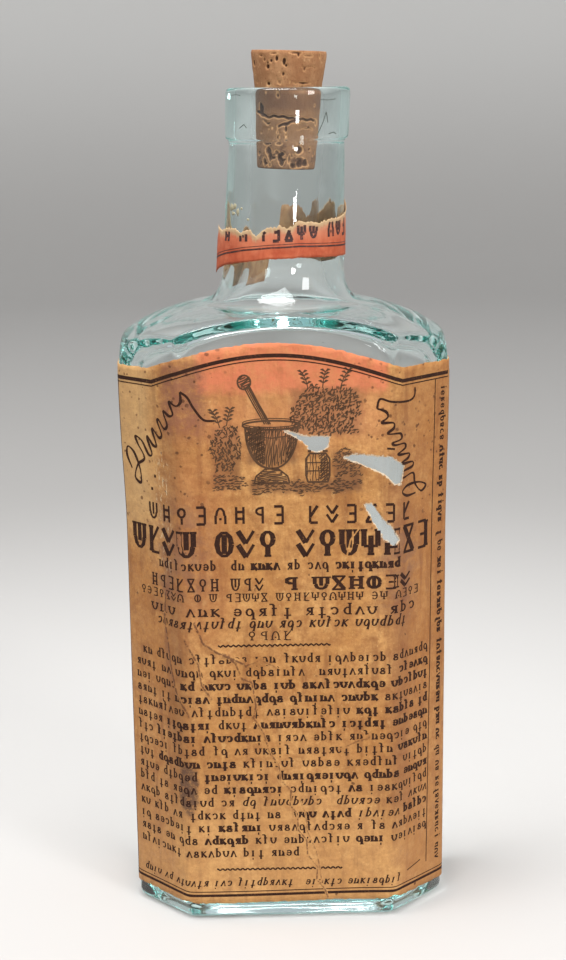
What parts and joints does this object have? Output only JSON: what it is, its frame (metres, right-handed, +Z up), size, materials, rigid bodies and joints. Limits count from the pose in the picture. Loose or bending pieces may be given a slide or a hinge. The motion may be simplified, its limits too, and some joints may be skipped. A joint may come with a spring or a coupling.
{
  "type": "medicine bottle",
  "caption": "Antique oblong glass medicine bottle with chamfered corners, domed shoulder and ring lip, closed by a cork, with an aged paper label and a torn neck seal.",
  "frame": {"origin": "middle of the foot, where the bottle stands", "axes": "+Z up through the neck, -Y out of the labelled front, +X to the right of someone reading the label"},
  "size_m": [0.0725, 0.0455, 0.1903],
  "materials": {
    "glass": "pale aqua mould-blown glass, thick, slightly wavy",
    "cork": "raw cork, dry and pitted",
    "label_paper": "aged printed paper, toned brown and varnish-stained",
    "seal_paper": "faded red-orange paper with torn pale edges"
  },
  "bodies": {
    "bottle": {"glass_bottle": "glass", "body_label": "label_paper", "neck_seal": "seal_paper"},
    "cork": {"cork_stopper": "cork"}
  },
  "joints": [
    {"name": "cork_pull", "type": "slide", "parent": "bottle", "child": "cork", "axis": [0.0366, 0, 0.9993], "range_m": [0, 0.06]}
  ]
}
